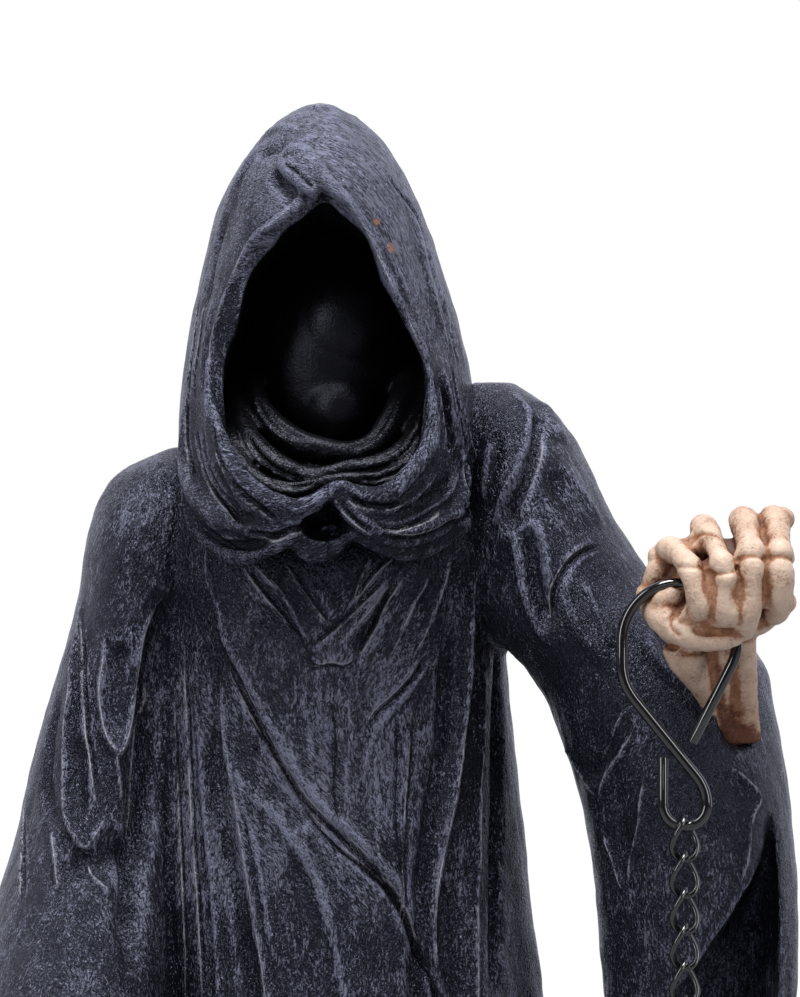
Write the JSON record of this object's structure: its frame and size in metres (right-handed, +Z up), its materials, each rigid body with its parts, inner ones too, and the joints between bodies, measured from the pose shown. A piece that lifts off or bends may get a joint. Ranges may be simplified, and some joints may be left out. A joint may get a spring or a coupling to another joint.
{
  "type": "grim reaper figurine",
  "caption": "Hooded, robed reaper figurine with an empty dark hood, its raised bone hand gripping a wire S-hook that carries a short chain, on a low oval base.",
  "frame": {"origin": "centre of the base's underside, on the ground", "axes": "+Z up through the figure, -Y the way the figure faces, +X towards its raised left hand"},
  "size_m": [0.1665, 0.132, 0.36],
  "materials": {
    "plinth": "cast resin painted black",
    "robe": "cast resin painted blue-black and dry-brushed grey, satin",
    "bone": "cast resin painted bone with a brown wash",
    "hook": "glossy black bent wire",
    "chain": "black twisted-link wire chain"
  },
  "bodies": {
    "root": {"plinth": "plinth", "robe": "robe", "left_hand": "bone", "right_hand": "bone", "hook": "hook", "chain_link_01": "chain", "chain_link_02": "chain", "chain_link_03": "chain", "chain_link_04": "chain", "chain_link_05": "chain", "chain_link_06": "chain", "chain_link_07": "chain", "chain_link_08": "chain", "chain_link_09": "chain", "chain_link_10": "chain", "chain_link_11": "chain", "chain_link_12": "chain", "end_ring": "chain"}
  },
  "joints": []
}
